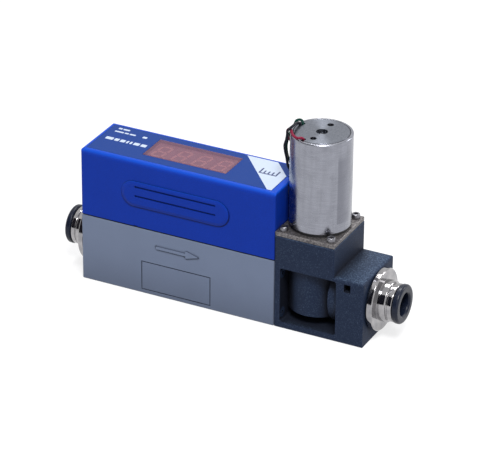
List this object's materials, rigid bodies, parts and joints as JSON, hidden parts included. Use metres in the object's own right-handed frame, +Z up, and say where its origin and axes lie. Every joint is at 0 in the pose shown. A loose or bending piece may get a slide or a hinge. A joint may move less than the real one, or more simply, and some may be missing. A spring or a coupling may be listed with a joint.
{
  "type": "mass flow controller",
  "caption": "Inline thermal mass flow controller: flow body with display cover, solenoid control valve block and push-in tube ports.",
  "frame": {"origin": "centre of the base, midway between the ends of the two tube ports", "axes": "+X along the gas flow from inlet to outlet, +Z up from the base to the solenoid, +Y towards the side away from the flow arrow"},
  "size_m": [0.1324, 0.0256, 0.0757],
  "materials": {
    "anodised_aluminium": "fine matt grey anodised finish",
    "blue_plastic": "moulded plastic with a soft satin sheen",
    "printed_film": "dark blue printed polyester film",
    "lens_plastic": "clear tinted acrylic lens",
    "display_face": "dark face of a light emitting diode display",
    "segment_resin": "unlit red segment resin",
    "black_moulding": "fine-grained blue-black moulding",
    "black_plastic": "smooth black plastic",
    "sensor_silicon": "dark silicon sensor die",
    "white_plastic": "natural nylon",
    "rubber_seal": "black fluoro rubber",
    "plated_metal": "bright nickel plating",
    "turned_steel": "finely turned and ground steel",
    "stainless_steel": "machined stainless steel",
    "plate_steel": "rolled steel plate, slightly mottled",
    "screw_steel": "bright steel screws",
    "black_screws": "black oxide screws",
    "copper_wire": "enamelled copper wire",
    "board_laminate": "green circuit board laminate",
    "brass_parts": "bare brass and gold flash",
    "red_insulation": "red wire insulation",
    "black_insulation": "black wire insulation",
    "green_insulation": "green wire insulation"
  },
  "bodies": {
    "controller": {"flow_body": "anodised_aluminium", "inlet_screen": "stainless_steel", "flow_element": "stainless_steel", "sensor_gasket": "rubber_seal", "sensor_board": "board_laminate", "sensor_chip": "sensor_silicon", "block_seal": "rubber_seal", "valve_block": "black_moulding", "block_screws": "black_screws", "valve_seat": "stainless_steel", "chamber_seal": "rubber_seal", "core_tube": "stainless_steel", "return_spring": "stainless_steel", "fixed_core": "stainless_steel", "adjuster_screw": "stainless_steel", "clamp_plate": "plate_steel", "plate_screws": "screw_steel", "spacer_ring": "black_plastic", "coil_can": "turned_steel", "end_disc": "turned_steel", "coil_bobbin": "black_plastic", "coil_winding": "copper_wire", "lead_red": "red_insulation", "lead_black": "black_insulation", "lead_green": "green_insulation", "cover": "blue_plastic", "cover_screws": "screw_steel", "top_film": "printed_film", "display_lens": "lens_plastic", "display_module": "display_face", "display_segments": "segment_resin", "display_board": "board_laminate", "display_screws": "screw_steel", "main_board": "board_laminate", "board_standoffs": "brass_parts", "board_screws": "screw_steel", "controller_chip": "black_plastic", "board_header": "black_plastic", "sensor_header": "black_plastic", "valve_plug": "white_plastic", "connector_housing": "black_plastic", "connector_pins": "brass_parts", "inlet_fitting": "plated_metal", "inlet_flange_seal": "rubber_seal", "inlet_grab_ring": "stainless_steel", "inlet_tube_seal": "rubber_seal", "outlet_fitting": "plated_metal", "outlet_flange_seal": "rubber_seal", "outlet_grab_ring": "stainless_steel", "outlet_tube_seal": "rubber_seal"},
    "inlet_collar": {"inlet_collar": "black_plastic"},
    "outlet_collar": {"outlet_collar": "black_plastic"},
    "valve_plunger": {"plunger": "stainless_steel", "seat_disc": "rubber_seal"}
  },
  "joints": [
    {"name": "inlet_release", "type": "slide", "parent": "controller", "child": "inlet_collar", "axis": [-1, 0, 0], "range_m": [0, 0.0015]},
    {"name": "outlet_release", "type": "slide", "parent": "controller", "child": "outlet_collar", "axis": [1, 0, 0], "range_m": [0, 0.0015]},
    {"name": "plunger_lift", "type": "slide", "parent": "controller", "child": "valve_plunger", "axis": [0, 0, 1], "range_m": [0, 0.0004], "stiffness_N_per_m": 200, "springref_m": -0.004, "deforming": ["return_spring"]}
  ]
}
